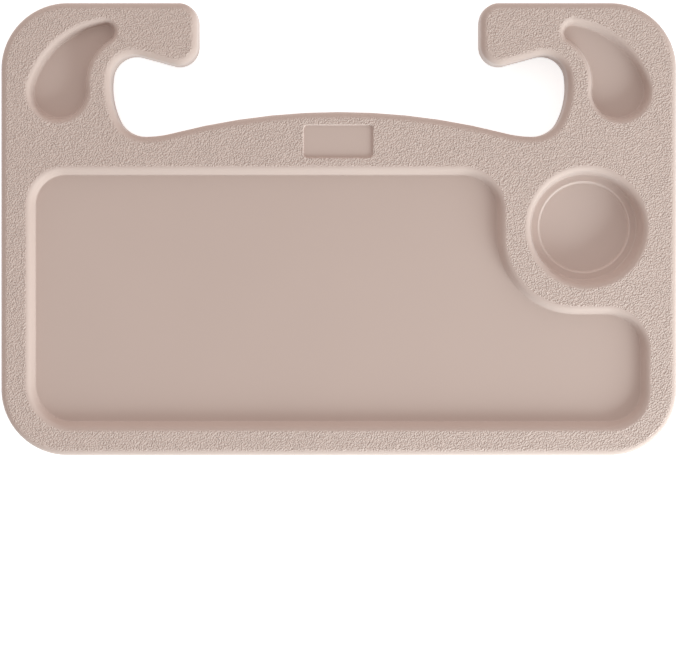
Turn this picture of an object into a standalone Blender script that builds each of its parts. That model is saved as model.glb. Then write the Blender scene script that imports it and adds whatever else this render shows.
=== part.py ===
# Steering wheel tray: a flat hollow panel made of two moulded shells, 2 mm thick.
# The face shell holds the food well, the cup well, two horn wells and a label recess.
# The back shell is a flat writing board with a pen groove, and carries the inner posts.
# The shells meet in a lap seam half way up the edge, and pegs in sockets locate them.
# Metres, +Z up: the tray lies on its flat back, the wheel hooks point to +Y, and the
# origin is under the middle of the tray.

from math import acos, asin, atan2, ceil, cos, hypot, pi, radians, sin, sqrt, tan

import bmesh
import bpy

# Overall size
TRAY_WIDTH = 0.425
TRAY_DEPTH = 0.285
TRAY_THICKNESS = 0.025
WALL = 0.0020
FIT_GAP = 0.0003

# Edge of the tray, the same on both shells
CORNER_RADIUS = 0.042
EDGE_RADIUS = 0.0045
EDGE_DRAFT = radians(3.0)
LAP_HEIGHT = 0.0025

# Hooks and wheel pockets, as distances from the side and from the top edge
FINGER_FROM_SIDE = 0.1241
FINGER_CORNER_RADIUS = 0.012
FINGER_LENGTH = 0.0397
LOBE_RADIUS = 0.013
POCKET_WALL_FROM_SIDE = 0.0694
POCKET_TOP_DROP = 0.0333
POCKET_TOP_RADIUS = 0.0145
POCKET_SIDE_RADIUS = 0.048
POCKET_BOTTOM_FROM_SIDE = 0.0907
POCKET_BOTTOM_DROP = 0.0840
POCKET_BOTTOM_RADIUS = 0.0185
CREST_DROP = 0.0689
CREST_BLEND_RADIUS = 0.069

# Cup well
CUP_RADIUS = 0.0398
CUP_FROM_SIDE = 0.0572
CUP_FROM_TOP = 0.1413
CUP_MOUTH_RADIUS = 0.0040
CUP_WALL_ANGLE = radians(81.0)
CUP_LEDGE_DEPTH = 0.0145
CUP_LEDGE_WIDTH = 0.0044
CUP_BEAD_WIDTH = 0.0018
CUP_BEAD_HEIGHT = 0.0007
CUP_BEAD_DRAFT = 0.0004
CUP_DEPTH = 0.0160

# Food well, an L round the cup
WELL_LEFT_MARGIN = 0.0154
WELL_RIGHT_MARGIN = 0.0157
WELL_FRONT_MARGIN = 0.0153
WELL_TOP_DROP = 0.1024
WELL_DEPTH = 0.0070
WELL_MOUTH_RADIUS = 0.0040
WELL_WALL_ANGLE = radians(66.0)
WELL_FLOOR_RADIUS = 0.0010
WELL_LEFT_CORNER = 0.0231
WELL_INNER_CORNER = 0.0218
WELL_FRONT_CORNER = 0.0211
WELL_LOBE_CORNER = 0.0238
WELL_CUP_BEND = 0.050
CUP_SIDE_WEB = 0.0091
CUP_FRONT_WEB = 0.0089

# Horn wells, one drop shape and its mirror image
HORN_BULB_FROM_SIDE = 0.0363
HORN_BULB_FROM_TOP = 0.0557
HORN_BULB_RADIUS = 0.0216
HORN_TIP_FROM_SIDE = 0.0678
HORN_TIP_FROM_TOP = 0.0193
HORN_TIP_RADIUS = 0.0084
HORN_OUTER_RADIUS = 0.0705
HORN_INNER_RADIUS = 0.0241
HORN_DEPTH = 0.0095
HORN_MOUTH_RADIUS = 0.0032
HORN_WALL_ANGLE = radians(72.0)
HORN_FLOOR_RADIUS = 0.0025

# Label recess
LABEL_LENGTH = 0.0450
LABEL_WIDTH = 0.0219
LABEL_FROM_TOP = 0.0876
LABEL_CORNER = 0.0020
LABEL_DEPTH = 0.0010
LABEL_WALL_ANGLE = radians(60.0)

# Pen groove in the back
GROOVE_LENGTH = 0.220
GROOVE_WIDTH = 0.0160
GROOVE_FROM_TOP = 0.1025
GROOVE_DEPTH = 0.0080
GROOVE_MOUTH_RADIUS = 0.0015
GROOVE_WALL_ANGLE = radians(72.0)
GROOVE_FLOOR_RADIUS = 0.0020

# Posts of the back shell, which carry the floors of the wells
POST_RADIUS = 0.0050
POST_DRAFT = radians(1.5)
POST_ROWS = 3
POST_COLUMNS = 5
POST_EDGE_SETBACK = 0.040
CUP_POST_RADIUS = 0.0180
CUP_POST_WALL = 0.0025

# Pegs of the face shell and the sockets that take them
PEG_RADIUS = 0.0018
PEG_LENGTH = 0.0070
SOCKET_FLOOR = 0.0010
FINGER_PEG_SETBACK = 0.0200
SHOULDER_PEG_FROM_SIDE = 0.0425
SHOULDER_PEG_FROM_TOP = 0.0900
FRONT_PEG_X = 0.0900
BOSS_RADIUS = 0.0038

# Fineness of the facets
CHORD_ERROR = 0.00020
FILLET_CHORD_ERROR = 0.00018
SHORTEST_EDGE = 0.00002
COUNT_SLACK_SHARE = 0.001
SHARP_ANGLE = radians(30.0)

# Places that follow from the sizes
HALF_WIDTH = TRAY_WIDTH / 2
HALF_DEPTH = TRAY_DEPTH / 2
SEAM_HEIGHT = TRAY_THICKNESS / 2
LAP_WALL = (WALL - FIT_GAP) / 2
CUP_X = HALF_WIDTH - CUP_FROM_SIDE
CUP_Y = HALF_DEPTH - CUP_FROM_TOP
FINGER_X = HALF_WIDTH - FINGER_FROM_SIDE
WELL_FRONT = WELL_FRONT_MARGIN - HALF_DEPTH
LOBE_TOP = CUP_Y - CUP_RADIUS - CUP_FRONT_WEB
GROOVE_Y = HALF_DEPTH - GROOVE_FROM_TOP

# Looks of the moulded plastic
FACE_COLOUR = (0.571, 0.456, 0.402, 1.0)
BACK_COLOUR = (0.545, 0.432, 0.380, 1.0)
SHELL_ROUGHNESS = 0.55


# Geometry in the plane

def meeting_point(first, reach_first, second, reach_second, side):
    """The point at one reach from each of two points, left (1) or right (-1) of their line."""
    across = (second[0] - first[0], second[1] - first[1])
    span = hypot(*across)
    along = (reach_first ** 2 - reach_second ** 2 + span ** 2) / (2 * span)
    aside = side * sqrt(max(0.0, reach_first ** 2 - along ** 2))
    ux, uy = across[0] / span, across[1] / span
    return (first[0] + along * ux - aside * uy, first[1] + along * uy + aside * ux)


def steps_of_arc(radius, turn, chord_error):
    """How many straight facets an arc needs to stay within the chord error."""
    share = min(1.0, chord_error / abs(radius))
    return max(1, ceil(abs(turn) / (2 * acos(1.0 - share)) - COUNT_SLACK_SHARE))


def belt(circles):
    """A closed line that runs round a row of circles like a belt, as points with normals.

    A circle is (x, y, radius). A positive radius is passed counter-clockwise, a negative
    one clockwise, and a straight run or a plain tangent joins each circle to the next.
    """
    headings = []
    for (x1, y1, r1), (x2, y2, r2) in zip(circles, circles[1:] + circles[:1]):
        lean = max(-1.0, min(1.0, (r2 - r1) / hypot(x2 - x1, y2 - y1)))
        headings.append(atan2(y2 - y1, x2 - x1) - asin(lean))
    line = []
    for index, (x, y, radius) in enumerate(circles):
        start = headings[index - 1]
        turn = (headings[index] - start) % (2 * pi)
        if radius < 0 and turn > 0:
            turn -= 2 * pi
        count = steps_of_arc(radius, turn, CHORD_ERROR)
        for step in range(count + 1):
            heading = start + turn * step / count
            normal = (sin(heading), -cos(heading))
            point = (x + radius * normal[0], y + radius * normal[1])
            if not line or hypot(point[0] - line[-1][0][0], point[1] - line[-1][0][1]) > SHORTEST_EDGE:
                line.append((point, normal))
    first, last = line[0][0], line[-1][0]
    if hypot(first[0] - last[0], first[1] - last[1]) <= SHORTEST_EDGE:
        line.pop()
    return line


def mirrored(circles):
    """The same belt on the other side of the middle line."""
    return [(-x, y, radius) for x, y, radius in reversed(circles)]


def round_belt(x, y, radius):
    """A full circle as a line of points with normals."""
    count = steps_of_arc(radius, 2 * pi, CHORD_ERROR)
    line = []
    for step in range(count):
        angle = 2 * pi * step / count
        normal = (cos(angle), sin(angle))
        line.append(((x + radius * normal[0], y + radius * normal[1]), normal))
    return line


# Profiles across an edge or a wall, as rows of (inset, drop)

def rounded(corners, radii):
    """A profile whose corners are rounded with their own radii, a radius of zero being sharp."""
    rows = [corners[0]]
    for before, corner, after, radius in zip(corners, corners[1:], corners[2:], radii[1:]):
        heading_in = atan2(corner[1] - before[1], corner[0] - before[0])
        heading_out = atan2(after[1] - corner[1], after[0] - corner[0])
        turn = (heading_out - heading_in + pi) % (2 * pi) - pi
        if radius == 0 or turn == 0:
            rows.append(corner)
            continue
        side = 1 if turn > 0 else -1
        reach = radius * tan(abs(turn) / 2)
        start = (corner[0] - reach * cos(heading_in), corner[1] - reach * sin(heading_in))
        middle = (start[0] - side * radius * sin(heading_in), start[1] + side * radius * cos(heading_in))
        count = steps_of_arc(radius, turn, FILLET_CHORD_ERROR)
        for step in range(count + 1):
            heading = heading_in + turn * step / count
            point = (middle[0] + side * radius * sin(heading), middle[1] - side * radius * cos(heading))
            if hypot(point[0] - rows[-1][0], point[1] - rows[-1][1]) > SHORTEST_EDGE:
                rows.append(point)
    if hypot(corners[-1][0] - rows[-1][0], corners[-1][1] - rows[-1][1]) > SHORTEST_EDGE:
        rows.append(corners[-1])
    return rows


def well_corners(mouth_radius, wall_angle, depth, floor_radius):
    """Corners and radii of a well's wall, from its rounded mouth to its floor."""
    mouth = mouth_radius * tan(wall_angle / 2)
    crease = mouth + depth / tan(wall_angle)
    floor = crease + floor_radius * tan(wall_angle / 2)
    corners = [(0.0, 0.0), (mouth, 0.0), (crease, depth), (floor, depth)]
    return corners, [0.0, mouth_radius, floor_radius, 0.0]


def well_underside(mouth_radius, wall_angle, depth):
    """The same wall seen from inside the panel, one wall thickness further down."""
    shift = WALL * tan(wall_angle / 2)
    mouth = mouth_radius * tan(wall_angle / 2) - shift
    crease = mouth + depth / tan(wall_angle)
    inner_radius = max(mouth_radius - WALL, SHORTEST_EDGE)
    corners = [(mouth - inner_radius * tan(wall_angle / 2), WALL), (mouth, WALL), (crease, depth + WALL)]
    return rounded(corners + [(crease + WALL, depth + WALL)], [0.0, inner_radius, 0.0, 0.0])[:-1]


def edge_rows(skin, start):
    """The tray's edge from a start height under the face to the flat, for one side of the wall."""
    slope = pi / 2 - EDGE_DRAFT
    radius = EDGE_RADIUS - skin
    corner = (SEAM_HEIGHT - skin) * tan(EDGE_DRAFT) + skin / cos(EDGE_DRAFT)
    corners = [
        (skin / cos(EDGE_DRAFT) + (SEAM_HEIGHT - start) * tan(EDGE_DRAFT), start),
        (corner, skin),
        (corner + radius * tan(slope / 2), skin),
    ]
    return rounded(corners, [0.0, radius, 0.0])


def cup_corners():
    """Corners and radii of the cup well: wall, ledge, raised bead and inner floor."""
    corners, radii = well_corners(CUP_MOUTH_RADIUS, CUP_WALL_ANGLE, CUP_LEDGE_DEPTH, WELL_FLOOR_RADIUS)
    bead = corners[2][0] + CUP_LEDGE_WIDTH
    bead_top = CUP_LEDGE_DEPTH - CUP_BEAD_HEIGHT
    corners += [
        (bead, CUP_LEDGE_DEPTH),
        (bead + CUP_BEAD_DRAFT, bead_top),
        (bead + CUP_BEAD_WIDTH - CUP_BEAD_DRAFT, bead_top),
        (bead + CUP_BEAD_WIDTH, CUP_LEDGE_DEPTH),
        (bead + CUP_BEAD_WIDTH + CUP_BEAD_DRAFT, CUP_DEPTH),
    ]
    return corners, radii + [0.0] * 5


def cup_underside():
    """The cup well seen from inside the panel: wall and ledge step, without the bead."""
    rows = well_underside(CUP_MOUTH_RADIUS, CUP_WALL_ANGLE, CUP_LEDGE_DEPTH)
    step = rows[-1][0] + CUP_LEDGE_WIDTH
    return rows + [(step, CUP_LEDGE_DEPTH + WALL), (step + CUP_BEAD_DRAFT, CUP_DEPTH + WALL)]


# Outlines in plan

def tray_outline():
    """The tray's outline: corners, hooks, wheel pockets and the arched crest."""
    wall_x = HALF_WIDTH - POCKET_WALL_FROM_SIDE
    bottom_x = HALF_WIDTH - POCKET_BOTTOM_FROM_SIDE
    pocket_top = (wall_x - POCKET_TOP_RADIUS, HALF_DEPTH - POCKET_TOP_DROP - POCKET_TOP_RADIUS)
    pocket_bottom_y = HALF_DEPTH - POCKET_BOTTOM_DROP
    pocket_bottom = (bottom_x, pocket_bottom_y + POCKET_BOTTOM_RADIUS)
    pocket_side = meeting_point(
        pocket_top, POCKET_SIDE_RADIUS - POCKET_TOP_RADIUS,
        pocket_bottom, POCKET_SIDE_RADIUS - POCKET_BOTTOM_RADIUS, -1)
    blend = (bottom_x, pocket_bottom_y + CREST_BLEND_RADIUS)
    apex = HALF_DEPTH - CREST_DROP
    rise = blend[1] - apex
    crest_radius = (blend[0] ** 2 + rise ** 2 - CREST_BLEND_RADIUS ** 2) / (2 * (CREST_BLEND_RADIUS - rise))
    right_half = [
        (HALF_WIDTH - CORNER_RADIUS, CORNER_RADIUS - HALF_DEPTH, CORNER_RADIUS),
        (HALF_WIDTH - CORNER_RADIUS, HALF_DEPTH - CORNER_RADIUS, CORNER_RADIUS),
        (FINGER_X + FINGER_CORNER_RADIUS, HALF_DEPTH - FINGER_CORNER_RADIUS, FINGER_CORNER_RADIUS),
        (FINGER_X + LOBE_RADIUS, HALF_DEPTH - FINGER_LENGTH + LOBE_RADIUS, LOBE_RADIUS),
        (*pocket_top, -POCKET_TOP_RADIUS),
        (*pocket_side, -POCKET_SIDE_RADIUS),
        (*pocket_bottom, -POCKET_BOTTOM_RADIUS),
        (*blend, -CREST_BLEND_RADIUS),
    ]
    crest = [(0.0, apex - crest_radius, crest_radius)]
    return belt(right_half + crest + mirrored(right_half))


def food_well_outline():
    """The food well's mouth: a rectangle that bends round the cup well.

    The two corners of its part in front of the cup shrink together where that part is short.
    """
    left = WELL_LEFT_MARGIN - HALF_WIDTH
    right = HALF_WIDTH - WELL_RIGHT_MARGIN
    top = HALF_DEPTH - WELL_TOP_DROP
    inner_x = CUP_X - CUP_RADIUS - CUP_SIDE_WEB
    fit = min(1.0, (LOBE_TOP - WELL_FRONT) / (WELL_FRONT_CORNER + WELL_LOBE_CORNER))
    front_corner = WELL_FRONT_CORNER * fit
    lobe_corner = WELL_LOBE_CORNER * fit
    return belt([
        (right - front_corner, WELL_FRONT + front_corner, front_corner),
        (right - lobe_corner, LOBE_TOP - lobe_corner, lobe_corner),
        (inner_x + WELL_CUP_BEND, LOBE_TOP + WELL_CUP_BEND, -WELL_CUP_BEND),
        (inner_x - WELL_INNER_CORNER, top - WELL_INNER_CORNER, WELL_INNER_CORNER),
        (left + WELL_LEFT_CORNER, top - WELL_LEFT_CORNER, WELL_LEFT_CORNER),
        (left + WELL_LEFT_CORNER, WELL_FRONT + WELL_LEFT_CORNER, WELL_LEFT_CORNER),
    ])


def horn_well_circles():
    """The right horn well's mouth: a drop with a full belly and a hollow inner side."""
    bulb = (HALF_WIDTH - HORN_BULB_FROM_SIDE, HALF_DEPTH - HORN_BULB_FROM_TOP)
    tip = (HALF_WIDTH - HORN_TIP_FROM_SIDE, HALF_DEPTH - HORN_TIP_FROM_TOP)
    outer = meeting_point(
        bulb, HORN_OUTER_RADIUS - HORN_BULB_RADIUS, tip, HORN_OUTER_RADIUS - HORN_TIP_RADIUS, 1)
    inner = meeting_point(
        bulb, HORN_INNER_RADIUS + HORN_BULB_RADIUS, tip, HORN_INNER_RADIUS + HORN_TIP_RADIUS, 1)
    return [
        (*bulb, HORN_BULB_RADIUS),
        (*outer, HORN_OUTER_RADIUS),
        (*tip, HORN_TIP_RADIUS),
        (*inner, -HORN_INNER_RADIUS),
    ]


def label_outline():
    """The label recess: a rectangle with small round corners."""
    x = LABEL_LENGTH / 2 - LABEL_CORNER
    y = LABEL_WIDTH / 2 - LABEL_CORNER
    middle = HALF_DEPTH - LABEL_FROM_TOP
    corners = [(x, -y), (x, y), (-x, y), (-x, -y)]
    return belt([(cx, middle + cy, LABEL_CORNER) for cx, cy in corners])


def groove_outline():
    """The pen groove: a long slot with round ends."""
    radius = GROOVE_WIDTH / 2
    end = GROOVE_LENGTH / 2 - radius
    return belt([(end, GROOVE_Y, radius), (-end, GROOVE_Y, radius)])


# Places of the pegs and posts

def peg_places():
    """Where the pegs stand: in the hooks, on the shoulders and along the front edge."""
    finger = (FINGER_X + FINGER_PEG_SETBACK, HALF_DEPTH - FINGER_LENGTH / 2)
    shoulder = (HALF_WIDTH - SHOULDER_PEG_FROM_SIDE, HALF_DEPTH - SHOULDER_PEG_FROM_TOP)
    flat_edge = EDGE_RADIUS * tan((pi / 2 - EDGE_DRAFT) / 2) + SEAM_HEIGHT * tan(EDGE_DRAFT)
    front = (FRONT_PEG_X, (flat_edge + WELL_FRONT_MARGIN) / 2 - HALF_DEPTH)
    return [(side * x, y) for x, y in (finger, shoulder, front) for side in (-1, 1)]


def floor_post_places():
    """A grid of posts under the food well, the first row under its part in front of the cup."""
    left = WELL_LEFT_MARGIN - HALF_WIDTH + POST_EDGE_SETBACK
    right = HALF_WIDTH - WELL_RIGHT_MARGIN - POST_EDGE_SETBACK
    front = (WELL_FRONT + LOBE_TOP) / 2
    back = GROOVE_Y - GROOVE_WIDTH / 2 - POST_EDGE_SETBACK / 2
    places = []
    for row in range(POST_ROWS):
        columns = POST_COLUMNS if row == 0 else POST_COLUMNS - 1
        for column in range(columns):
            x = left + (right - left) * column / (POST_COLUMNS - 1)
            places.append((x, front + (back - front) * row / (POST_ROWS - 1)))
    return places


# Mesh building

def ring(mesh, line, inset, height):
    """One closed row of points, set in from a line at one height."""
    return [mesh.verts.new((x - nx * inset, y - ny * inset, height)) for (x, y), (nx, ny) in line]


def strip(mesh, lower, upper):
    """A band of faces between two rows that have the same number of points."""
    count = len(lower)
    for index in range(count):
        following = (index + 1) % count
        mesh.faces.new((lower[index], lower[following], upper[following], upper[index]))


def loft(mesh, line, rows, height_of):
    """Bands through every row of a profile. Gives the first and the last row of points."""
    rings = [ring(mesh, line, inset, height_of(drop)) for inset, drop in rows]
    for lower, upper in zip(rings, rings[1:]):
        strip(mesh, lower, upper)
    return rings[0], rings[-1]


def sheet(mesh, outer, holes=()):
    """A flat sheet inside one row of points and outside the others."""
    edges = []
    for row in (outer, *holes):
        for start, end in zip(row, row[1:] + row[:1]):
            edges.append(mesh.edges.get((start, end)) or mesh.edges.new((start, end)))
    bmesh.ops.triangle_fill(mesh, use_beauty=True, use_dissolve=False, edges=edges)


def pocket(mesh, line, rows, height_of):
    """A blind hollow or post: its wall and the sheet that closes it. Gives its first row."""
    mouth, floor = loft(mesh, line, rows, height_of)
    sheet(mesh, floor)
    return mouth


def from_face(drop):
    """The height of a point that lies a drop below the face."""
    return TRAY_THICKNESS - drop


def from_back(drop):
    """The height of a point that lies a drop inside the back."""
    return drop


def finish(mesh, name, material):
    """Turn the mesh into an object of its own, smooth but for its real edges."""
    bmesh.ops.recalc_face_normals(mesh, faces=mesh.faces)
    data = bpy.data.meshes.new(name)
    mesh.to_mesh(data)
    mesh.free()
    data.shade_smooth()
    data.set_sharp_from_angle(angle=SHARP_ANGLE)
    data.materials.append(material)
    part = bpy.data.objects.new(name, data)
    bpy.context.scene.collection.objects.link(part)


def plastic(name, colour):
    """The moulded plastic of one shell."""
    material = bpy.data.materials.new(name)
    material.use_nodes = True
    shader = material.node_tree.nodes["Principled BSDF"]
    shader.inputs["Base Color"].default_value = colour
    shader.inputs["Roughness"].default_value = SHELL_ROUGHNESS
    shader.inputs["Metallic"].default_value = 0.0
    return material


# Face shell

def face_wells(mesh):
    """Every hollow in the face, inside and out. Gives the rows that the two sheets go round."""
    horn = horn_well_circles()
    plain_wells = [
        (food_well_outline(), (WELL_MOUTH_RADIUS, WELL_WALL_ANGLE, WELL_DEPTH), WELL_FLOOR_RADIUS),
        (belt(horn), (HORN_MOUTH_RADIUS, HORN_WALL_ANGLE, HORN_DEPTH), HORN_FLOOR_RADIUS),
        (belt(mirrored(horn)), (HORN_MOUTH_RADIUS, HORN_WALL_ANGLE, HORN_DEPTH), HORN_FLOOR_RADIUS),
    ]
    mouths, undersides = [], []
    for line, sizes, floor_radius in plain_wells:
        mouths.append(pocket(mesh, line, rounded(*well_corners(*sizes, floor_radius)), from_face))
        undersides.append(pocket(mesh, line, well_underside(*sizes), from_face))
    cup = round_belt(CUP_X, CUP_Y, CUP_RADIUS)
    mouths.append(pocket(mesh, cup, rounded(*cup_corners()), from_face))
    undersides.append(pocket(mesh, cup, cup_underside(), from_face))
    label_rows = [(0.0, 0.0), (LABEL_DEPTH / tan(LABEL_WALL_ANGLE), LABEL_DEPTH)]
    mouths.append(pocket(mesh, label_outline(), label_rows, from_face))
    return mouths, undersides


def face_pegs(mesh):
    """Tapered pegs that hang from the underside of the face. Gives their first rows."""
    length = PEG_LENGTH + FIT_GAP
    rows = [(0.0, WALL), (length * tan(POST_DRAFT), WALL + length)]
    return [pocket(mesh, round_belt(x, y, PEG_RADIUS), rows, from_face) for x, y in peg_places()]


def build_face_shell():
    """The upper shell: grained deck, wells and the upper half of the edge, with its lap lip."""
    mesh = bmesh.new()
    line = tray_outline()
    mouths, undersides = face_wells(mesh)
    undersides += face_pegs(mesh)
    lip_end = SEAM_HEIGHT - FIT_GAP / 2
    shoulder = SEAM_HEIGHT - LAP_HEIGHT - FIT_GAP
    outside = edge_rows(0.0, lip_end)
    inside = edge_rows(WALL, shoulder)
    lip_outer, deck_edge = loft(mesh, line, outside, from_face)
    lip_inner, lip_top = loft(mesh, line, [(LAP_WALL, lip_end), (LAP_WALL, shoulder)], from_face)
    wall_inner, under_edge = loft(mesh, line, inside, from_face)
    strip(mesh, lip_outer, lip_inner)
    strip(mesh, lip_top, wall_inner)
    sheet(mesh, deck_edge, mouths)
    sheet(mesh, under_edge, undersides)
    finish(mesh, "face_shell", plastic("face_plastic", FACE_COLOUR))


# Back shell

def plain_posts(mesh):
    """Solid tapered posts under the food well and the horn wells. Gives their first rows."""
    bulb_x = HALF_WIDTH - HORN_BULB_FROM_SIDE
    bulb_y = HALF_DEPTH - HORN_BULB_FROM_TOP
    places = [(x, y, WELL_DEPTH) for x, y in floor_post_places()]
    places += [(side * bulb_x, bulb_y, HORN_DEPTH) for side in (-1, 1)]
    feet = []
    for x, y, depth in places:
        top = TRAY_THICKNESS - depth - WALL - FIT_GAP
        rows = [(0.0, WALL), ((top - WALL) * tan(POST_DRAFT), top)]
        feet.append(pocket(mesh, round_belt(x, y, POST_RADIUS), rows, from_back))
    return feet


def socket_posts(mesh):
    """Posts with a blind socket for each peg. Gives their first rows."""
    top = TRAY_THICKNESS - WALL - FIT_GAP
    floor = top - PEG_LENGTH - SOCKET_FLOOR
    wall = BOSS_RADIUS - PEG_RADIUS - FIT_GAP
    lean = (top - WALL) * tan(POST_DRAFT)
    rows = [(-lean, WALL), (0.0, top), (wall, top), (wall, floor)]
    return [pocket(mesh, round_belt(x, y, BOSS_RADIUS), rows, from_back) for x, y in peg_places()]


def cup_post(mesh):
    """A short round wall under the cup's floor. Gives the row at its foot."""
    top = TRAY_THICKNESS - CUP_DEPTH - WALL - FIT_GAP
    rows = [(0.0, WALL), (0.0, top), (CUP_POST_WALL, top), (CUP_POST_WALL, WALL)]
    return pocket(mesh, round_belt(CUP_X, CUP_Y, CUP_POST_RADIUS), rows, from_back)


def build_back_shell():
    """The lower shell: flat back, pen groove, posts and the lower edge with its lap tongue."""
    mesh = bmesh.new()
    line = tray_outline()
    groove = groove_outline()
    sizes = (GROOVE_MOUTH_RADIUS, GROOVE_WALL_ANGLE, GROOVE_DEPTH)
    mouth = pocket(mesh, groove, rounded(*well_corners(*sizes, GROOVE_FLOOR_RADIUS)), from_back)
    feet = [pocket(mesh, groove, well_underside(*sizes), from_back), cup_post(mesh)]
    feet += plain_posts(mesh) + socket_posts(mesh)
    lip_end = SEAM_HEIGHT - FIT_GAP / 2
    tongue_end = SEAM_HEIGHT + LAP_HEIGHT
    tongue = WALL - LAP_WALL
    lip_outer, back_edge = loft(mesh, line, edge_rows(0.0, lip_end), from_back)
    root, tongue_outer = loft(mesh, line, [(tongue, lip_end), (tongue, tongue_end)], from_back)
    tongue_inner, inner_edge = loft(mesh, line, [(WALL, tongue_end)] + edge_rows(WALL, lip_end), from_back)
    strip(mesh, lip_outer, root)
    strip(mesh, tongue_outer, tongue_inner)
    sheet(mesh, back_edge, [mouth])
    sheet(mesh, inner_edge, feet)
    finish(mesh, "back_shell", plastic("back_plastic", BACK_COLOUR))


for old in list(bpy.data.objects):
    bpy.data.objects.remove(old)
build_face_shell()
build_back_shell()
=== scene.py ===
import bmesh
import bpy
import numpy as np
from mathutils.geometry import delaunay_2d_cdt
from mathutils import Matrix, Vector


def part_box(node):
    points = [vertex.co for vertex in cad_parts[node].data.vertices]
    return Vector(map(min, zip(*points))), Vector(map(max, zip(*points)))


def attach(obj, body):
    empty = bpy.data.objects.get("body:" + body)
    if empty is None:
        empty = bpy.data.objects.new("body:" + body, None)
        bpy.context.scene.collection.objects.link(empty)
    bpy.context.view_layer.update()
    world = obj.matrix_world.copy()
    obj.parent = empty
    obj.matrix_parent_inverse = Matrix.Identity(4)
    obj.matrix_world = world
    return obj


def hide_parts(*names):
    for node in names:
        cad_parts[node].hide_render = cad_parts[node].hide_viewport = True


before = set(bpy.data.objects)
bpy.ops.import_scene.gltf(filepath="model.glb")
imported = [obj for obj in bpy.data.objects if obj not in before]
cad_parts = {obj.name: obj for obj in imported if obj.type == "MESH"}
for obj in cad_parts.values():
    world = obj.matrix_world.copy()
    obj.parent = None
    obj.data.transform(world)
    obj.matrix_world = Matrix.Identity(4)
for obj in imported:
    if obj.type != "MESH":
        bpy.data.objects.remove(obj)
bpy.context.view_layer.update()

mm = 0.001
halfWidth, halfDepth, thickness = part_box("face_shell")[1]
seamHeight = thickness / 2
print(f"frame: tray is {2 * halfWidth / mm:.1f} by {2 * halfDepth / mm:.1f} by {thickness / mm:.1f} mm")

shells = {
    "wall": 2.0 * mm,
    "fitGap": 0.3 * mm,         # between the lip and the tongue, and along the parting line
    "lapHeight": 2.5 * mm,      # how far the tongue of the back reaches up inside the face
}
lipEnd = seamHeight - shells["fitGap"] / 2

mesher = {
    "arcStep": 3.0,             # degrees between points on an outline's arcs
    "circleStep": 1.5,          # and on a full circle
    "longestRun": 5.0 * mm,     # spacing on straight runs
    "closePoints": 0.02 * mm,   # nearer points on an outline are one point
    "filletStep": 7.5,          # degrees between rows round a fillet
    "hiddenStep": 24.0,         # and on the hidden inner side
    "holdingRow": 0.12 * mm,    # extra row beside a fillet, which keeps the flat beside it flat
    "holdingRoom": 0.30 * mm,   # a side shorter than this gets no such row
    "closeRows": 0.01 * mm,     # nearer rows of a profile are one row
    "leadIn": 0.48 * mm,        # flat strip at the end of a profile, where the sheet beside it takes over
    "sheetSpacing": 7.0 * mm,
    "sheetMargin": 0.55,        # share of that spacing kept clear beside a sheet's border
    "sheetTolerance": 1e-5,     # in millimetres, which the triangulation works in
    "mergeWithin": 0.002 * mm,
    "sharpAngle": 50.0,         # degrees between faces from which a side is left sharp
}


# Lines in plan

# Where two circles cross: the point at reachA from a and reachB from b, on the given side of the line a to b.
def meetingPoint(a, reachA, b, reachB, side):
    a, b = np.array(a), np.array(b)
    span = np.linalg.norm(b - a)
    along = (reachA ** 2 - reachB ** 2 + span ** 2) / (2 * span)
    unit = (b - a) / span
    aside = side * np.sqrt(max(0.0, reachA ** 2 - along ** 2))
    return a + along * unit + aside * np.array([-unit[1], unit[0]])


# A closed line that runs round circles (x, y, r) like a belt. On each circle the point is the centre plus
# r (sin h, -cos h), with the heading h turning from the tangent before it to the tangent after it.
# A positive r is passed counter-clockwise, a negative one clockwise. Gives points and outward normals.
def beltLine(circles):
    circles = np.array(circles, dtype=float)
    step = np.roll(circles, -1, axis=0) - circles
    lean = np.clip(step[:, 2] / np.hypot(step[:, 0], step[:, 1]), -1.0, 1.0)
    leaving = np.arctan2(step[:, 1], step[:, 0]) - np.arcsin(lean)
    points, normals = [], []
    for (x, y, r), start, end in zip(circles, np.roll(leaving, 1), leaving):
        turn = (end - start) % (2 * np.pi)
        if r < 0 and turn > 0:
            turn -= 2 * np.pi
        count = max(2, int(np.ceil(np.degrees(abs(turn)) / mesher["arcStep"])) + 1)
        heading = start + turn * np.linspace(0, 1, count)
        normal = np.stack([np.sin(heading), -np.cos(heading)], axis=1)
        points.append(np.array([x, y]) + r * normal)
        normals.append(normal)
    return fillRuns(np.concatenate(points), np.concatenate(normals))


# Long straight runs of a closed line get evenly spaced points, p + t (q - p), and doubled points are dropped.
def fillRuns(points, normals):
    gap = np.linalg.norm(np.roll(points, -1, axis=0) - points, axis=1)
    kept = gap > mesher["closePoints"]
    points, normals = points[kept], normals[kept]
    following, followingNormal = np.roll(points, -1, axis=0), np.roll(normals, -1, axis=0)
    gap = np.linalg.norm(following - points, axis=1)
    pieces = np.maximum(1, np.ceil(gap / mesher["longestRun"])).astype(int)
    index = np.repeat(np.arange(len(points)), pieces)
    first = np.repeat(np.cumsum(pieces) - pieces, pieces)
    t = ((np.arange(pieces.sum()) - first) / np.repeat(pieces, pieces))[:, None]
    line = points[index] * (1 - t) + following[index] * t
    normal = normals[index] * (1 - t) + followingNormal[index] * t
    return line, normal / np.linalg.norm(normal, axis=1)[:, None]


# A full circle: centre + r (cos a, sin a).
def circleLine(x, y, r):
    count = int(round(360 / mesher["circleStep"]))
    a = np.linspace(0, 2 * np.pi, count, endpoint=False)
    normal = np.stack([np.cos(a), np.sin(a)], axis=1)
    return np.array([x, y]) + r * normal, normal


# The same circles with x negated, in reverse, so the belt still runs counter-clockwise.
def mirrored(circles):
    return [(-x, y, r) for x, y, r in reversed(circles)]


# Profiles across an edge or a wall, as rows of (inset, drop)

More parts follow.
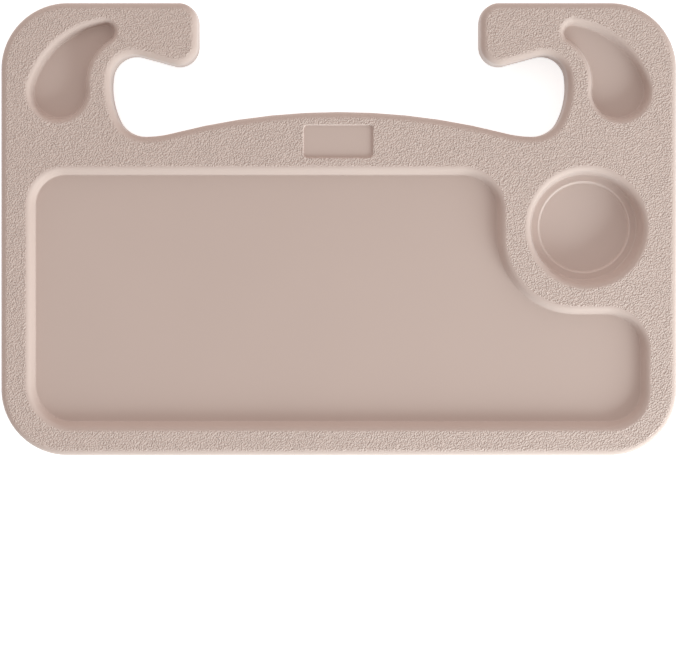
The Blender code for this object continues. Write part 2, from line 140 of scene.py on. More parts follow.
# Each corner with a radius becomes an arc that touches both of its sides, radius tan(turn / 2) away from it.
# A holding row goes beside each end, but not on the hidden inner side, where the arc is coarser too.
def roundedProfile(corners, radii, hidden=False):
    stepDegrees = mesher["hiddenStep"] if hidden else mesher["filletStep"]
    hold, room = mesher["holdingRow"], mesher["holdingRoom"]
    rows = [np.array(corners[0])]
    for before, corner, after, radius in zip(corners, corners[1:], corners[2:], radii[1:]):
        before, corner, after = map(np.array, (before, corner, after))
        if radius == 0:
            rows.append(corner)
            continue
        inward = (corner - before) / np.linalg.norm(corner - before)
        outward = (after - corner) / np.linalg.norm(after - corner)
        turn = np.arctan2(inward[0] * outward[1] - inward[1] * outward[0], inward @ outward)
        reach = radius * np.tan(abs(turn) / 2)
        start, end = corner - reach * inward, corner + reach * outward
        centre = start + np.sign(turn) * radius * np.array([-inward[1], inward[0]])
        count = max(2, int(np.ceil(np.degrees(abs(turn)) / stepDegrees)) + 1)
        sweep = turn * np.linspace(0, 1, count)
        arm = start - centre
        arc = centre + np.stack([
            arm[0] * np.cos(sweep) - arm[1] * np.sin(sweep),
            arm[0] * np.sin(sweep) + arm[1] * np.cos(sweep)], axis=1)
        if not hidden and np.linalg.norm(start - rows[-1]) > room:
            rows.append(start - hold * inward)
        rows.extend(arc)
        if not hidden and np.linalg.norm(after - end) > room:
            rows.append(end + hold * outward)
    rows.append(np.array(corners[-1]))
    rows = np.array(rows)
    fresh = np.linalg.norm(np.diff(rows, axis=0), axis=1) > mesher["closeRows"]
    return rows[np.concatenate([[True], fresh])]


# Corners of a well's wall: a flat lead-in on the deck, the rounded mouth, the sloped wall and the start of
# the floor.
def wellCorners(well):
    half = np.radians(well["wallAngle"]) / 2
    mouth = well["mouthRadius"] * np.tan(half)
    crease = mouth + well["depth"] / np.tan(2 * half)
    floor = crease + well["floorRadius"] * np.tan(half)
    lead = mesher["leadIn"]
    corners = [(-lead, 0.0), (mouth, 0.0), (crease, well["depth"]), (floor + lead, well["depth"])]
    return corners, [0.0, well["mouthRadius"], well["floorRadius"], 0.0]


# The profile of a well that has no painted light, with a share of 0 on each of its rows.
def plainProfile(well):
    profile = roundedProfile(*wellCorners(well))
    return profile, np.zeros(len(profile))


# The same wall from inside the panel: both corners move down by the wall, and back from the well by
# wall tan(angle / 2).
def wellUnderside(well):
    half = np.radians(well["wallAngle"]) / 2
    wall = shells["wall"]
    mouth = (well["mouthRadius"] - wall) * np.tan(half)
    crease = mouth + well["depth"] / np.tan(2 * half)
    inner = max(well["mouthRadius"] - wall, mesher["holdingRow"])
    return roundedProfile(
        [(0.0, wall), (mouth, wall), (crease, well["depth"] + wall)], [0.0, inner, 0.0], hidden=True)


# Surfaces

# A profile carried along a line: x and y are the line moved in along its normal by the inset, and z is the
# height. The mask of grain and painted light is one number, or one for each row of the profile.
def carried(line, profile, heightOf, finish=0.0):
    points, normals = line
    inset, drop = profile[:, 0], profile[:, 1]
    flat = points[None] - normals[None] * inset[:, None, None]
    height = np.broadcast_to(heightOf(drop)[:, None, None], flat.shape[:2] + (1,))
    grid = np.concatenate([flat, height], axis=2)
    rows, count = grid.shape[:2]
    here = np.arange(rows * count).reshape(rows, count)
    after = np.roll(here, -1, axis=1)
    quads = np.stack([here[:-1], after[:-1], after[1:], here[1:]], axis=-1).reshape(-1, 4)
    mask = np.broadcast_to(np.asarray(finish, dtype=float).reshape(-1, 1), (rows, count))
    return {"points": grid.reshape(-1, 3), "faces": quads, "finish": mask.reshape(-1), "grid": grid}


# The finish on each row of a profile: 1, grain, on the lead-in, then 1 - travel / length down to 0, smooth.
def fadingGrain(profile, length, fromEnd=False):
    travel = np.concatenate([[0.0], np.cumsum(np.linalg.norm(np.diff(profile, axis=0), axis=1))])
    if fromEnd:
        travel = travel[-1] - travel
    return np.clip(1.0 - (travel - mesher["leadIn"]) / length, 0.0, 1.0)


# Which points lie inside an odd number of closed lines, by counting the sides that a ray to +X crosses.
# A level side is never crossed, so any divisor does for it.
def insideLoops(points, loops):
    crossings = np.zeros(len(points), dtype=int)
    for loop in loops:
        x1, y1 = loop[:, 0][None], loop[:, 1][None]
        x2, y2 = np.roll(loop[:, 0], -1)[None], np.roll(loop[:, 1], -1)[None]
        px, py = points[:, 0][:, None], points[:, 1][:, None]
        spans = (y1 > py) != (y2 > py)
        rise = np.where(y2 == y1, 1.0, y2 - y1)
        crossings += (spans & (px < x1 + (py - y1) / rise * (x2 - x1))).sum(axis=1)
    return crossings % 2 == 1


# A flat sheet between closed rows: Delaunay triangles over the rows and an even grid of points between them.
def flatSheet(rows, finish=0.0):
    loops = [row[:, :2] for row in rows]
    height = rows[0][0, 2]
    border = np.concatenate(loops)
    low, high = loops[0].min(axis=0), loops[0].max(axis=0)
    spacing = mesher["sheetSpacing"]
    x, y = np.meshgrid(
        np.arange(low[0] + spacing / 2, high[0], spacing), np.arange(low[1] + spacing / 2, high[1], spacing))
    x = x + np.where(np.arange(len(x)) % 2, spacing / 2, 0.0)[:, None]
    inner = np.stack([x.ravel(), y.ravel()], axis=1)
    inner = inner[insideLoops(inner, loops)]
    distance = np.sqrt(((inner[:, None] - border[None]) ** 2).sum(axis=2)).min(axis=1)
    inner = inner[distance > spacing * mesher["sheetMargin"]]
    sides, start = [], 0
    for loop in loops:
        index = np.arange(start, start + len(loop))
        sides.append(np.stack([index, np.roll(index, -1)], axis=1))
        start += len(loop)
    flat = np.concatenate([border, inner])
    scale = 1 / mm
    corners, _, faces, origins, _, _ = delaunay_2d_cdt(
        (flat * scale).tolist(), np.concatenate(sides).tolist(), [], 0, mesher["sheetTolerance"])
    places = np.array([tuple(corner) for corner in corners]) / scale
    source = np.array([origin[0] if origin else -1 for origin in origins])
    places[source >= 0] = flat[source[source >= 0]]     # points that were given keep their exact places
    triangles = np.array(faces)
    triangles = triangles[insideLoops(places[triangles].mean(axis=1), loops)]
    points = np.concatenate([places, np.full((len(places), 1), height)], axis=1)
    return {"points": points, "faces": triangles, "finish": np.full(len(points), float(finish))}


# Two rows of the same length joined by one band of faces.
def joinedRows(lower, upper):
    count = len(lower)
    here = np.arange(count)
    after = np.roll(here, -1)
    quads = np.stack([here, after, after + count, here + count], axis=1)
    return {"points": np.concatenate([lower, upper]), "faces": quads, "finish": np.zeros(2 * count)}


# All surfaces of a shell as one closed mesh, with a point attribute for grain and painted light: 1 grained,
# 0 smooth, and below 0 the share of pale painted light, down to -1.
def castShell(name, surfaces, material):
    points = np.concatenate([surface["points"] for surface in surfaces])
    finish = np.concatenate([surface["finish"] for surface in surfaces])
    faces, start = [], 0
    for surface in surfaces:
        faces += (surface["faces"] + start).tolist()
        start += len(surface["points"])
    data = bpy.data.meshes.new(name)
    data.from_pydata(points.tolist(), [], faces)
    mask = data.attributes.new("finish", "FLOAT", "POINT")
    mask.data.foreach_set("value", finish)
    work = bmesh.new()
    work.from_mesh(data)
    bmesh.ops.remove_doubles(work, verts=work.verts, dist=mesher["mergeWithin"])
    bmesh.ops.recalc_face_normals(work, faces=work.faces)
    openSides = sum(1 for side in work.edges if len(side.link_faces) != 2)
    work.to_mesh(data)
    work.free()
    data.shade_smooth()
    data.set_sharp_from_angle(angle=np.radians(mesher["sharpAngle"]))
    data.materials.append(material)
    piece = bpy.data.objects.new(name, data)
    bpy.context.scene.collection.objects.link(piece)
    triangles = sum(len(face.vertices) - 2 for face in data.polygons)
    print(name, "has", triangles, "triangles and", openSides, "open sides")
    return piece


# Materials

# Sets a socket to a number or a colour, or links another node's output to it.
def feed(tree, socket, value):
    if isinstance(value, bpy.types.NodeSocket):
        tree.links.new(value, socket)
    else:
        socket.default_value = value


# A sum between shader values. Each value is a number or another node's output.
def maths(tree, operation, *values):
    node = tree.nodes.new("ShaderNodeMath")
    node.operation = operation
    for socket, value in zip(node.inputs, values):
        feed(tree, socket, value)
    return node.outputs[0]


# A level by share: low + share (high - low), with the share held between 0 and 1.
def levelBetween(tree, share, low, high):
    node = tree.nodes.new("ShaderNodeMapRange")
    feed(tree, node.inputs["Value"], share)
    feed(tree, node.inputs["To Min"], low)
    feed(tree, node.inputs["To Max"], high)
    return node.outputs[0]


# A colour by share, in the same way.
def colourBetween(tree, share, low, high):
    node = tree.nodes.new("ShaderNodeMix")
    node.data_type = "RGBA"
    feed(tree, node.inputs["Factor"], share)
    feed(tree, node.inputs["A"], low)
    feed(tree, node.inputs["B"], high)
    return node.outputs["Result"]


# Noise about a mean of a half, whose lumps are about one size across.
def noise(tree, place, size, detail):
    node = tree.nodes.new("ShaderNodeTexNoise")
    node.inputs["Scale"].default_value = 1.0 / size
    node.inputs["Detail"].default_value = detail
    tree.links.new(place, node.inputs["Vector"])
    return node.outputs[0]


# Moulded plastic, grained where the mask is above 0, with a pale painted light where it is below. The grain's
# height is (noise - 1/2) times the mask, and the tone is the colour times a slow noise between 1 - mottle and
# 1 + mottle.
def mouldedPlastic(name, look):
    material = bpy.data.materials.new(name)
    material.use_nodes = True
    tree = material.node_tree
    shader = tree.nodes["Principled BSDF"]
    place = tree.nodes.new("ShaderNodeTexCoord").outputs["Object"]
    mask = tree.nodes.new("ShaderNodeAttribute")
    mask.attribute_name = "finish"
    finish = mask.outputs["Fac"]

    turned = tree.nodes.new("ShaderNodeMapping")
    turned.inputs["Rotation"].default_value = look["grainTurn"]
    tree.links.new(place, turned.inputs["Vector"])
    grain = noise(tree, turned.outputs[0], look["grainSize"], look["grainDetail"])
    height = maths(tree, "SUBTRACT", grain, 0.5)
    depth = maths(tree, "MULTIPLY", height, maths(tree, "MAXIMUM", finish, 0.0))
    bump = tree.nodes.new("ShaderNodeBump")
    bump.inputs["Strength"].default_value = 1.0
    bump.inputs["Distance"].default_value = look["grainDepth"]
    tree.links.new(depth, bump.inputs["Height"])
    tree.links.new(bump.outputs[0], shader.inputs["Normal"])

    colour = colourBetween(tree, finish, (*look["smooth"], 1.0), (*look["grained"], 1.0))
    # Painted light: where the mask is below 0 the colour is mixed towards a pale tone.
    paintedLightTone = colourBetween(tree, maths(tree, "MULTIPLY", finish, -1.0), colour, (*look["paintedLightTone"], 1.0))
    cloud = noise(tree, place, look["cloud"], look["cloudDetail"])
    tinted = tree.nodes.new("ShaderNodeVectorMath")
    tinted.operation = "SCALE"
    feed(tree, tinted.inputs[0], paintedLightTone)
    feed(tree, tinted.inputs["Scale"], levelBetween(tree, cloud, 1.0 - look["mottle"], 1.0 + look["mottle"]))
    feed(tree, shader.inputs["Base Color"], tinted.outputs[0])
    roughness = levelBetween(tree, finish, look["smoothRoughness"], look["grainRoughness"])
    feed(tree, shader.inputs["Roughness"], roughness)
    shader.inputs["Metallic"].default_value = 0.0
    shader.inputs["IOR"].default_value = look["ior"]
    shader.inputs["Sheen Weight"].default_value = look["sheen"]
    shader.inputs["Sheen Roughness"].default_value = look["sheenRoughness"]
    return material


facePlastic = {
    "grained": (0.625, 0.493, 0.435),
    "smooth": (0.548, 0.424, 0.373),
    # Pale tone of painted light: a painted highlight on the cup's bead, and a lift of the shade on well
    # floors.
    "paintedLightTone": (0.700, 0.570, 0.515),
    "mottle": 0.02,             # how far the tone drifts, as a share
    "cloud": 60.0 * mm,
    "cloudDetail": 2.0,
    "grainSize": 0.88 * mm,
    "grainDetail": 0.0,
    "grainTurn": (0.6, 0.4, 0.9),   # radians, so no face runs along the noise's own lattice
    "grainDepth": 1.15 * mm,
    "grainRoughness": 0.62,
    "smoothRoughness": 0.45,
    "ior": 1.48,
    "sheen": 0.20,              # pale bloom on walls seen at a low angle
    "sheenRoughness": 0.5,
}

backPlastic = {**facePlastic, "grained": (0.598, 0.470, 0.415)}


# The outline and the edge

outline = {
    "cornerRadius": 42.0 * mm,
    "fingerGap": 176.8 * mm,        # between the tips of the two hooks
    "fingerCorner": 12.0 * mm,
    "fingerLength": 39.7 * mm,      # from the top edge to the lowest point of the hook's tip
    "lobeRadius": 13.0 * mm,
    "pocketWallX": 143.1 * mm,      # the pocket's upper part reaches this far from the middle
    "pocketTopDrop": 33.3 * mm,     # drops are measured from the tray's top edge
    "pocketTopRadius": 14.5 * mm,
    "pocketSideRadius": 48.0 * mm,
    "pocketBottomX": 121.8 * mm,
    "pocketBottomDrop": 84.0 * mm,
    "pocketBottomRadius": 18.5 * mm,
    "crestDrop": 68.4 * mm,
    "crestBlend": 69.0 * mm,        # radius of the hollow that leads up from the pocket to the crest
}


# The tray from above: corner, finger, lobe and pocket on each side, and the long crest between the pockets.
# The crest's radius R follows from its apex and the blend circle b: x^2 + (rise + R)^2 = (R + b)^2.
def trayLine():
    o = outline
    top = (o["pocketWallX"] - o["pocketTopRadius"], halfDepth - o["pocketTopDrop"] - o["pocketTopRadius"])
    floorY = halfDepth - o["pocketBottomDrop"]
    bottom = (o["pocketBottomX"], floorY + o["pocketBottomRadius"])
    side = meetingPoint(
        top, o["pocketSideRadius"] - o["pocketTopRadius"],
        bottom, o["pocketSideRadius"] - o["pocketBottomRadius"], -1)
    apex = halfDepth - o["crestDrop"]
    blend = (o["pocketBottomX"], floorY + o["crestBlend"])
    rise = blend[1] - apex
    crest = (blend[0] ** 2 + rise ** 2 - o["crestBlend"] ** 2) / (2 * (o["crestBlend"] - rise))
    tipX = o["fingerGap"] / 2
    half = [
        (halfWidth - o["cornerRadius"], o["cornerRadius"] - halfDepth, o["cornerRadius"]),
        (halfWidth - o["cornerRadius"], halfDepth - o["cornerRadius"], o["cornerRadius"]),
        (tipX + o["fingerCorner"], halfDepth - o["fingerCorner"], o["fingerCorner"]),
        (tipX + o["lobeRadius"], halfDepth - o["fingerLength"] + o["lobeRadius"], o["lobeRadius"]),
        (*top, -o["pocketTopRadius"]),
        (*side, -o["pocketSideRadius"]),
        (*bottom, -o["pocketBottomRadius"]),
        (*blend, -o["crestBlend"]),
    ]
    return beltLine(half + [(0.0, apex - crest, crest)] + mirrored(half))


edge = {
    "radius": 4.5 * mm,
    "draft": 3.0,               # degrees
    "grainFade": 2.5 * mm,      # length of the profile over which the grain fades out
}


# The tray's edge: a drafted wall up from the seam, then a quarter round into the flat. A skin above 0 gives
# the hidden inner side, that far inside.
def edgeProfile(skin, start):
    draft = np.radians(edge["draft"])
    foot = skin / np.cos(draft) + (seamHeight - start) * np.tan(draft)
    corner = skin / np.cos(draft) + (seamHeight - skin) * np.tan(draft)
    radius = edge["radius"] - skin
    flat = corner + radius * np.tan((np.pi / 2 - draft) / 2) + mesher["leadIn"]
    return roundedProfile([(foot, start), (corner, skin), (flat, skin)], [0.0, radius, 0.0], hidden=skin > 0)


# The outer side of either shell's edge, from the seam to the flat.
def outerEdge(line, heightOf):
    profile = edgeProfile(0.0, lipEnd)
    return carried(line, profile, heightOf, fadingGrain(profile, edge["grainFade"], fromEnd=True))


# The wells

cupWell = {
    "radius": 39.3 * mm,
    "fromSide": 57.2 * mm,
    "fromTop": 141.2 * mm,
    "mouthRadius": 4.0 * mm,
    "wallAngle": 81.0,
    "depth": 14.5 * mm,         # down to the ledge
    "floorRadius": 1.0 * mm,
    "ledgeWidth": 4.75 * mm,    # out to the crown of the bead
    "beadRise": 2.4 * mm,       # length of the gentle rise on the bead's outer side
    "beadRub": 1.9 * mm,        # how far the painted highlight on the crown reaches on each side of it
    "beadHeight": 0.35 * mm,
    "beadDraft": 1.0 * mm,
    "beadRound": 0.9 * mm,
    "footWear": 0.40,           # share of pale painted light at the foot of the wall, lifting its shade
    # the same pale painted light lifts the shaded ledge and the inner floor
    "ledgeWear": 0.75,
    "floorWear": 0.45,
    "innerRound": 0.3 * mm,
    "innerDepth": 16.0 * mm,
    "innerLead": 0.72 * mm,     # flat strip of the inner floor in the profile
    "grainFade": 1.2 * mm,
}
cupX = halfWidth - cupWell["fromSide"]
cupY = halfDepth - cupWell["fromTop"]


# The cup well: wall down to the ledge, a gentle rise to the bead's crown, then a step to the inner floor.
# The painted light is the greater of a painted highlight on the bead, 1 - distance from the crown / its
# reach, and a painted lift of the shade along a line from the mouth's corner down to the floor.
def cupProfile():
    c = cupWell
    corners, radii = wellCorners(c)
    mouth, crease = corners[1][0], corners[2][0]
    crown = crease + c["ledgeWidth"]
    inside = crown + c["beadDraft"]
    highlightFoot = crown - c["beadRub"]
    highlightFootHeight = c["beadHeight"] * (1 - c["beadRub"] / c["beadRise"])
    corners = corners[:3] + [
        (crown - c["beadRise"], c["depth"]),
        (highlightFoot, c["depth"] - highlightFootHeight),
        (crown, c["depth"] - c["beadHeight"]),
        (inside, c["innerDepth"]),
        (inside + c["innerLead"], c["innerDepth"]),
    ]
    profile = roundedProfile(corners, radii[:3] + [0.0, 0.0, c["beadRound"], c["innerRound"], 0.0])
    inset = profile[:, 0]
    # Painted highlight: the pale tone on the bead's crown, fading out to each side.
    paintedHighlight = np.where(inset < inside, np.clip(1.0 - np.abs(inset - crown) / c["beadRub"], 0.0, 1.0), 0.0)
    # Painted light that lifts the shade, from the mouth's corner down to the floor.
    wear = np.interp(
        inset, [mouth, crease, highlightFoot, inside], [0.0, c["footWear"], c["ledgeWear"], c["floorWear"]])
    return profile, np.maximum(paintedHighlight, wear)


# The underside of the cup's wall and ledge, with the same step down to the inner floor.
def cupUnderside():
    c = cupWell
    rows = wellUnderside(c)
    wall = shells["wall"]
    step = rows[-1][0] + c["ledgeWidth"] - wall
    return np.concatenate([
        rows, [(step, c["depth"] + wall), (step + c["beadDraft"], c["innerDepth"] + wall)]])


foodWell = {
    "left": 15.5 * mm,          # width of the deck between the well's mouth and the tray's side
    "right": 16.7 * mm,
    "front": 15.5 * mm,
    "topDrop": 102.4 * mm,
    "depth": 7.0 * mm,
    "mouthRadius": 4.0 * mm,
    "wallAngle": 66.0,
    "floorRadius": 1.0 * mm,
    "topLeftCorner": 25.0 * mm,
    "frontLeftCorner": 30.0 * mm,
    "innerCorner": 28.0 * mm,
    "frontRightCorner": 25.5 * mm,
    "lobeCorner": 27.9 * mm,    # upper right corner, in front of the cup
    "cupBend": 43.7 * mm,
    "cupSideWeb": 10.8 * mm,    # width of the deck between the cup's mouth and this well, at its left
    "cupFrontWeb": 9.6 * mm,
    "grainFade": 1.2 * mm,
}


# The L of the food well: five round corners, and a hollow bend that passes the cup at the width of the webs.
def foodWellLine():
    w = foodWell
    left, right = w["left"] - halfWidth, halfWidth - w["right"]
    front, top = w["front"] - halfDepth, halfDepth - w["topDrop"]
    innerX = cupX - cupWell["radius"] - w["cupSideWeb"]
    innerY = cupY - cupWell["radius"] - w["cupFrontWeb"]
    return beltLine([
        (right - w["frontRightCorner"], front + w["frontRightCorner"], w["frontRightCorner"]),
        (right - w["lobeCorner"], innerY - w["lobeCorner"], w["lobeCorner"]),
        (innerX + w["cupBend"], innerY + w["cupBend"], -w["cupBend"]),
        (innerX - w["innerCorner"], top - w["innerCorner"], w["innerCorner"]),
        (left + w["topLeftCorner"], top - w["topLeftCorner"], w["topLeftCorner"]),
        (left + w["frontLeftCorner"], front + w["frontLeftCorner"], w["frontLeftCorner"]),
    ])


hornWell = {
    "bulbFromSide": 36.4 * mm,
    "bulbFromTop": 55.6 * mm,
    "bulbRadius": 21.2 * mm,
    "tipFromSide": 65.5 * mm,
    "tipFromTop": 18.5 * mm,
    "tipRadius": 9.5 * mm,
    "outerRadius": 59.3 * mm,
    "innerRadius": 28.0 * mm,
    "depth": 9.0 * mm,
    "mouthRadius": 3.2 * mm,
    "wallAngle": 78.0,
    "floorRadius": 1.2 * mm,
    "wear": 0.15,               # share of pale painted light on its floor, lifting its shade
    "grainFade": 1.8 * mm,
}


# A drop: the belly and the tip inside one large circle, with a hollow circle touching both on the inner side.
def hornWellCircles():
    w = hornWell
    bulb = (halfWidth - w["bulbFromSide"], halfDepth - w["bulbFromTop"])
    tip = (halfWidth - w["tipFromSide"], halfDepth - w["tipFromTop"])
    outer = meetingPoint(bulb, w["outerRadius"] - w["bulbRadius"], tip, w["outerRadius"] - w["tipRadius"], 1)
    inner = meetingPoint(bulb, w["innerRadius"] + w["bulbRadius"], tip, w["innerRadius"] + w["tipRadius"], 1)
    return [
        (*bulb, w["bulbRadius"]),
        (*outer, w["outerRadius"]),
        (*tip, w["tipRadius"]),
        (*inner, -w["innerRadius"]),
    ]


# A hook's well, with pale painted light that lifts its shaded floor, growing along the inset from 0 at the
# mouth's corner to its full share at the floor's corner.
def hornProfile():
    corners, radii = wellCorners(hornWell)
    profile = roundedProfile(corners, radii)
    return profile, np.interp(profile[:, 0], [corners[1][0], corners[2][0]], [0.0, hornWell["wear"]])


labelRecess = {
    "length": 44.4 * mm,
    "width": 21.5 * mm,
    "fromMiddle": -0.5 * mm,
    "fromTop": 87.5 * mm,
    "corner": 3.2 * mm,
    "depth": 1.3 * mm,
    "mouthRadius": 0.2 * mm,
    "wallAngle": 67.0,
    "floorRadius": 0.25 * mm,
    "grainFade": 0.3 * mm,
}


# A rectangle with round corners.
def labelLine():
    w = labelRecess
    r, x, y = w["corner"], w["length"] / 2 - w["corner"], w["width"] / 2 - w["corner"]
    middleX, middleY = w["fromMiddle"], halfDepth - w["fromTop"]
    return beltLine([(middleX + i * x, middleY + j * y, r) for i, j in ((1, -1), (1, 1), (-1, 1), (-1, -1))])


penGroove = {
    "length": 220.0 * mm,
    "width": 16.0 * mm,
    "fromTop": 102.5 * mm,
    "depth": 8.0 * mm,
    "mouthRadius": 1.5 * mm,
    "wallAngle": 72.0,
    "floorRadius": 2.0 * mm,
    "grainFade": 1.0 * mm,
}


# A slot with two round ends.
def grooveLine():
    w = penGroove
    end, y, r = (w["length"] - w["width"]) / 2, halfDepth - w["fromTop"], w["width"] / 2
    return beltLine([(end, y, r), (-end, y, r)])


# The shells

# Height of a drop below the face, and above the back.
def fromFace(drop):
    return thickness - drop


def fromBack(drop):
    return drop


# A hollow with its floor, and its underside when it is deeper than the wall. Adds its surfaces and
# gives the rows that the sheets on both sides of the wall go round.
def sinkWell(surfaces, line, profile, wear, grainFade, underside, heightOf):
    # The mask fades from grain down the wall, and goes below 0 where pale painted light is laid.
    finish = fadingGrain(profile, grainFade) - wear
    wall = carried(line, profile, heightOf, finish)
    surfaces += [wall, flatSheet([wall["grid"][-1]], finish[-1])]
    if underside is None:
        return wall["grid"][0], None
    under = carried(line, underside, heightOf)
    surfaces += [under, flatSheet([under["grid"][-1]])]
    return wall["grid"][0], under["grid"][0]


# The face: its wells, the edge, the lip that hangs outside the tongue, and the sheets of the deck and its
# underside. The lip is (wall - gap) / 2 thick.
def castFaceShell(line, material):
    surfaces, mouths, undersides = [], [], []
    horn = hornWellCircles()
    wells = [
        (foodWell, foodWellLine(), *plainProfile(foodWell), wellUnderside(foodWell)),
        (hornWell, beltLine(horn), *hornProfile(), wellUnderside(hornWell)),
        (hornWell, beltLine(mirrored(horn)), *hornProfile(), wellUnderside(hornWell)),
        (cupWell, circleLine(cupX, cupY, cupWell["radius"]), *cupProfile(), cupUnderside()),
        (labelRecess, labelLine(), *plainProfile(labelRecess), None),
    ]
    for well, place, profile, wear, underside in wells:
        mouth, under = sinkWell(surfaces, place, profile, wear, well["grainFade"], underside, fromFace)
        mouths.append(mouth)
        if under is not None:
            undersides.append(under)
    shoulder = seamHeight - shells["lapHeight"] - shells["fitGap"]
    lapWall = (shells["wall"] - shells["fitGap"]) / 2
    outer = outerEdge(line, fromFace)
    lip = carried(line, np.array([(lapWall, lipEnd), (lapWall, shoulder)]), fromFace)
    inner = carried(line, edgeProfile(shells["wall"], shoulder), fromFace)
    surfaces += [outer, lip, inner]
    surfaces += [joinedRows(outer["grid"][0], lip["grid"][0])]
    surfaces += [joinedRows(lip["grid"][-1], inner["grid"][0])]
    surfaces += [flatSheet([outer["grid"][-1]] + mouths, 1.0), flatSheet([inner["grid"][-1]] + undersides)]
    return castShell("face_skin", surfaces, material)


# The back: its pen groove, the edge, the tongue that stands (wall + gap) / 2 inside the outline, and the
# sheets of the board and its inner side.
def castBackShell(line, material):
    surfaces = []
    mouth, under = sinkWell(
        surfaces, grooveLine(), *plainProfile(penGroove), penGroove["grainFade"], wellUnderside(penGroove),
        fromBack)
    tongueEnd = seamHeight + shells["lapHeight"]
    tongue = (shells["wall"] + shells["fitGap"]) / 2
    outer = outerEdge(line, fromBack)
    rise = carried(line, np.array([(tongue, lipEnd), (tongue, tongueEnd)]), fromBack)
    inside = edgeProfile(shells["wall"], lipEnd)
    inner = carried(line, np.concatenate([[(shells["wall"], tongueEnd)], inside]), fromBack)
    surfaces += [outer, rise, inner]
    surfaces += [joinedRows(outer["grid"][0], rise["grid"][0])]
    surfaces += [joinedRows(rise["grid"][-1], inner["grid"][0])]
    surfaces += [flatSheet([outer["grid"][-1], mouth], 1.0), flatSheet([inner["grid"][-1], under])]
    return castShell("back_skin", surfaces, material)


line = trayLine()
faceSkin = castFaceShell(line, mouldedPlastic("face_plastic", facePlastic))
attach(faceSkin, "root")
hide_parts("face_shell")
backSkin = castBackShell(line, mouldedPlastic("back_plastic", backPlastic))
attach(backSkin, "root")
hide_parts("back_shell")


# The studio

studio = {
    "white": (1.0, 1.0, 1.0, 1.0),
    "floorHalf": 4.0,
    "floorDrop": 0.2 * mm,      # the floor lies this far under the tray
    "floorColour": (0.80, 0.80, 0.80, 1.0),
    "floorRoughness": 0.9,
    "whiteLift": 0.70,          # white added to the floor where it is seen directly
    "domeSeen": 1.0,            # level of the white sky where it is seen directly
    "domeBase": 0.31,           # from all round
    "domeRight": 0.52,          # more from the right of the picture
    "domeLeft": 0.35,
    "domeBehind": 0.76,         # more from above it
    "domeColour": (1.053, 0.98, 0.95, 1.0),
    "keyColour": (0.89, 1.05, 1.10),
    "keyAzimuth": -48.0,        # degrees from +X, so the key stands at the lower right of the picture
    "keyElevation": 15.0,
    "keyDistance": 1.6,
    "keyWidth": 1.05,
    "keyHeight": 0.80,
    "keyPower": 35.0,
}


# 1 for what is seen directly, by the camera or in mirrors and glass: the greatest of three kinds of ray.
def seenDirectly(tree):
    rays = tree.nodes.new("ShaderNodeLightPath")
    seen = maths(tree, "MAXIMUM", rays.outputs["Is Camera Ray"], rays.outputs["Is Glossy Ray"])
    return maths(tree, "MAXIMUM", seen, rays.outputs["Is Transmission Ray"])


# A plain square under the tray. It shines by whiteLift where it is seen directly.
def layFloor():
    half = studio["floorHalf"]
    data = bpy.data.meshes.new("floor")
    corners = [(-half, -half, 0), (half, -half, 0), (half, half, 0), (-half, half, 0)]
    data.from_pydata(corners, [], [(0, 1, 2, 3)])
    floor = bpy.data.objects.new("floor", data)
    floor.location.z = -studio["floorDrop"]
    bpy.context.scene.collection.objects.link(floor)
    material = bpy.data.materials.new("floor_white")
    material.use_nodes = True
    tree = material.node_tree
    shader = tree.nodes["Principled BSDF"]
    shader.inputs["Base Color"].default_value = studio["floorColour"]
    shader.inputs["Roughness"].default_value = studio["floorRoughness"]
    shader.inputs["Specular IOR Level"].default_value = 0.0
    shader.inputs["Emission Color"].default_value = studio["white"]
    lift = maths(tree, "MULTIPLY", seenDirectly(tree), studio["whiteLift"])
    feed(tree, shader.inputs["Emission Strength"], lift)
    data.materials.append(material)


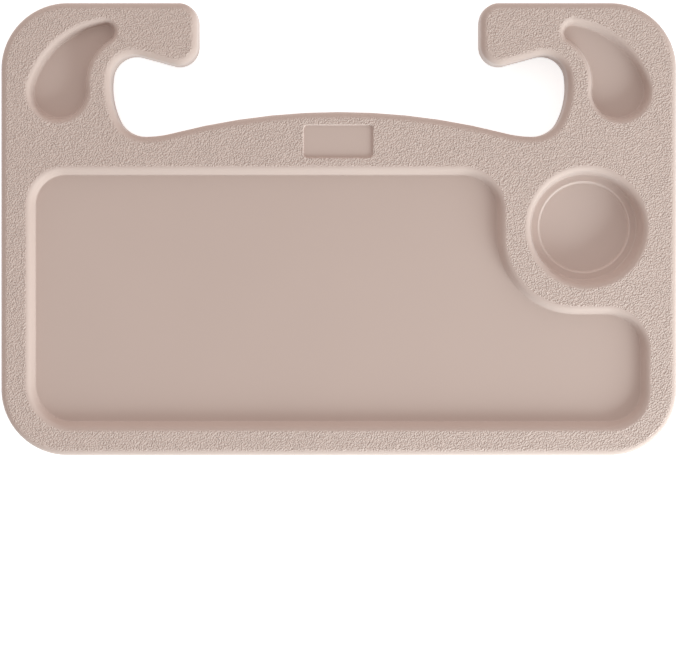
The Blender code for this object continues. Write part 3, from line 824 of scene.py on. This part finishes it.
# The sky's level towards (x, y, z): base + greater of right x and left (-x) + behind y where y is positive.
# Seen directly it is an even white.
def lightDome():
    world = bpy.data.worlds.new("studio")
    bpy.context.scene.world = world
    world.use_nodes = True
    tree = world.node_tree
    dome = tree.nodes["Background"]
    heading = tree.nodes.new("ShaderNodeTexCoord")
    parts = tree.nodes.new("ShaderNodeSeparateXYZ")
    tree.links.new(heading.outputs["Generated"], parts.inputs[0])
    right = maths(tree, "MULTIPLY", parts.outputs["X"], studio["domeRight"])
    left = maths(tree, "MULTIPLY", parts.outputs["X"], -studio["domeLeft"])
    sides = maths(tree, "ADD", maths(tree, "MAXIMUM", right, left), studio["domeBase"])
    above = maths(tree, "MAXIMUM", parts.outputs["Y"], 0.0)
    level = maths(tree, "MULTIPLY_ADD", above, studio["domeBehind"], sides)
    direct = seenDirectly(tree)
    feed(tree, dome.inputs["Strength"], levelBetween(tree, direct, level, studio["domeSeen"]))
    feed(tree, dome.inputs["Color"], colourBetween(tree, direct, studio["domeColour"], studio["white"]))


# The key stands at distance (cos az cos el, sin az cos el, sin el) and faces the middle of the tray.
def hangKey():
    azimuth, elevation = np.radians(studio["keyAzimuth"]), np.radians(studio["keyElevation"])
    level = np.cos(elevation)
    away = np.array([np.cos(azimuth) * level, np.sin(azimuth) * level, np.sin(elevation)])
    lamp = bpy.data.lights.new("key", "AREA")
    lamp.shape = "RECTANGLE"
    lamp.size = studio["keyHeight"]
    lamp.size_y = studio["keyWidth"]
    lamp.energy = studio["keyPower"]
    lamp.color = studio["keyColour"]
    key = bpy.data.objects.new("key", lamp)
    key.location = (away * studio["keyDistance"]).tolist()
    key.rotation_euler = (0.0, np.pi / 2 - elevation, azimuth)
    key.visible_glossy = False          # its shine would wash out the flat floors in low views from behind
    bpy.context.scene.collection.objects.link(key)


photo = {
    "width": 679.0,             # pixels
    "height": 671.0,
    "trayX": 338.9,             # pixel under the camera, which is the middle of the tray
    "trayY": 229.15,
    "scale": 0.6333 * mm,       # one pixel at the parting line
    "distance": 1087.0 * mm,    # camera above the parting line
}


# Straight above the tray. At the parting line the picture is width times scale across, so the lens is
# sensor distance / (width scale). The shifts move the tray to its place in the photograph.
def placeCamera():
    data = bpy.data.cameras.new("camera")
    camera = bpy.data.objects.new("camera", data)
    camera.location = (0.0, 0.0, seamHeight + photo["distance"])
    data.sensor_fit = "HORIZONTAL"
    data.lens = data.sensor_width * photo["distance"] / (photo["width"] * photo["scale"])
    data.shift_x = (photo["width"] / 2 - photo["trayX"]) / photo["width"]
    data.shift_y = (photo["trayY"] - photo["height"] / 2) / photo["width"]
    bpy.context.scene.collection.objects.link(camera)
    bpy.context.scene.camera = camera


layFloor()
lightDome()
hangKey()
placeCamera()
bpy.context.scene.view_settings.view_transform = "Standard"
print("studio: floor, dome, key light and camera are set")
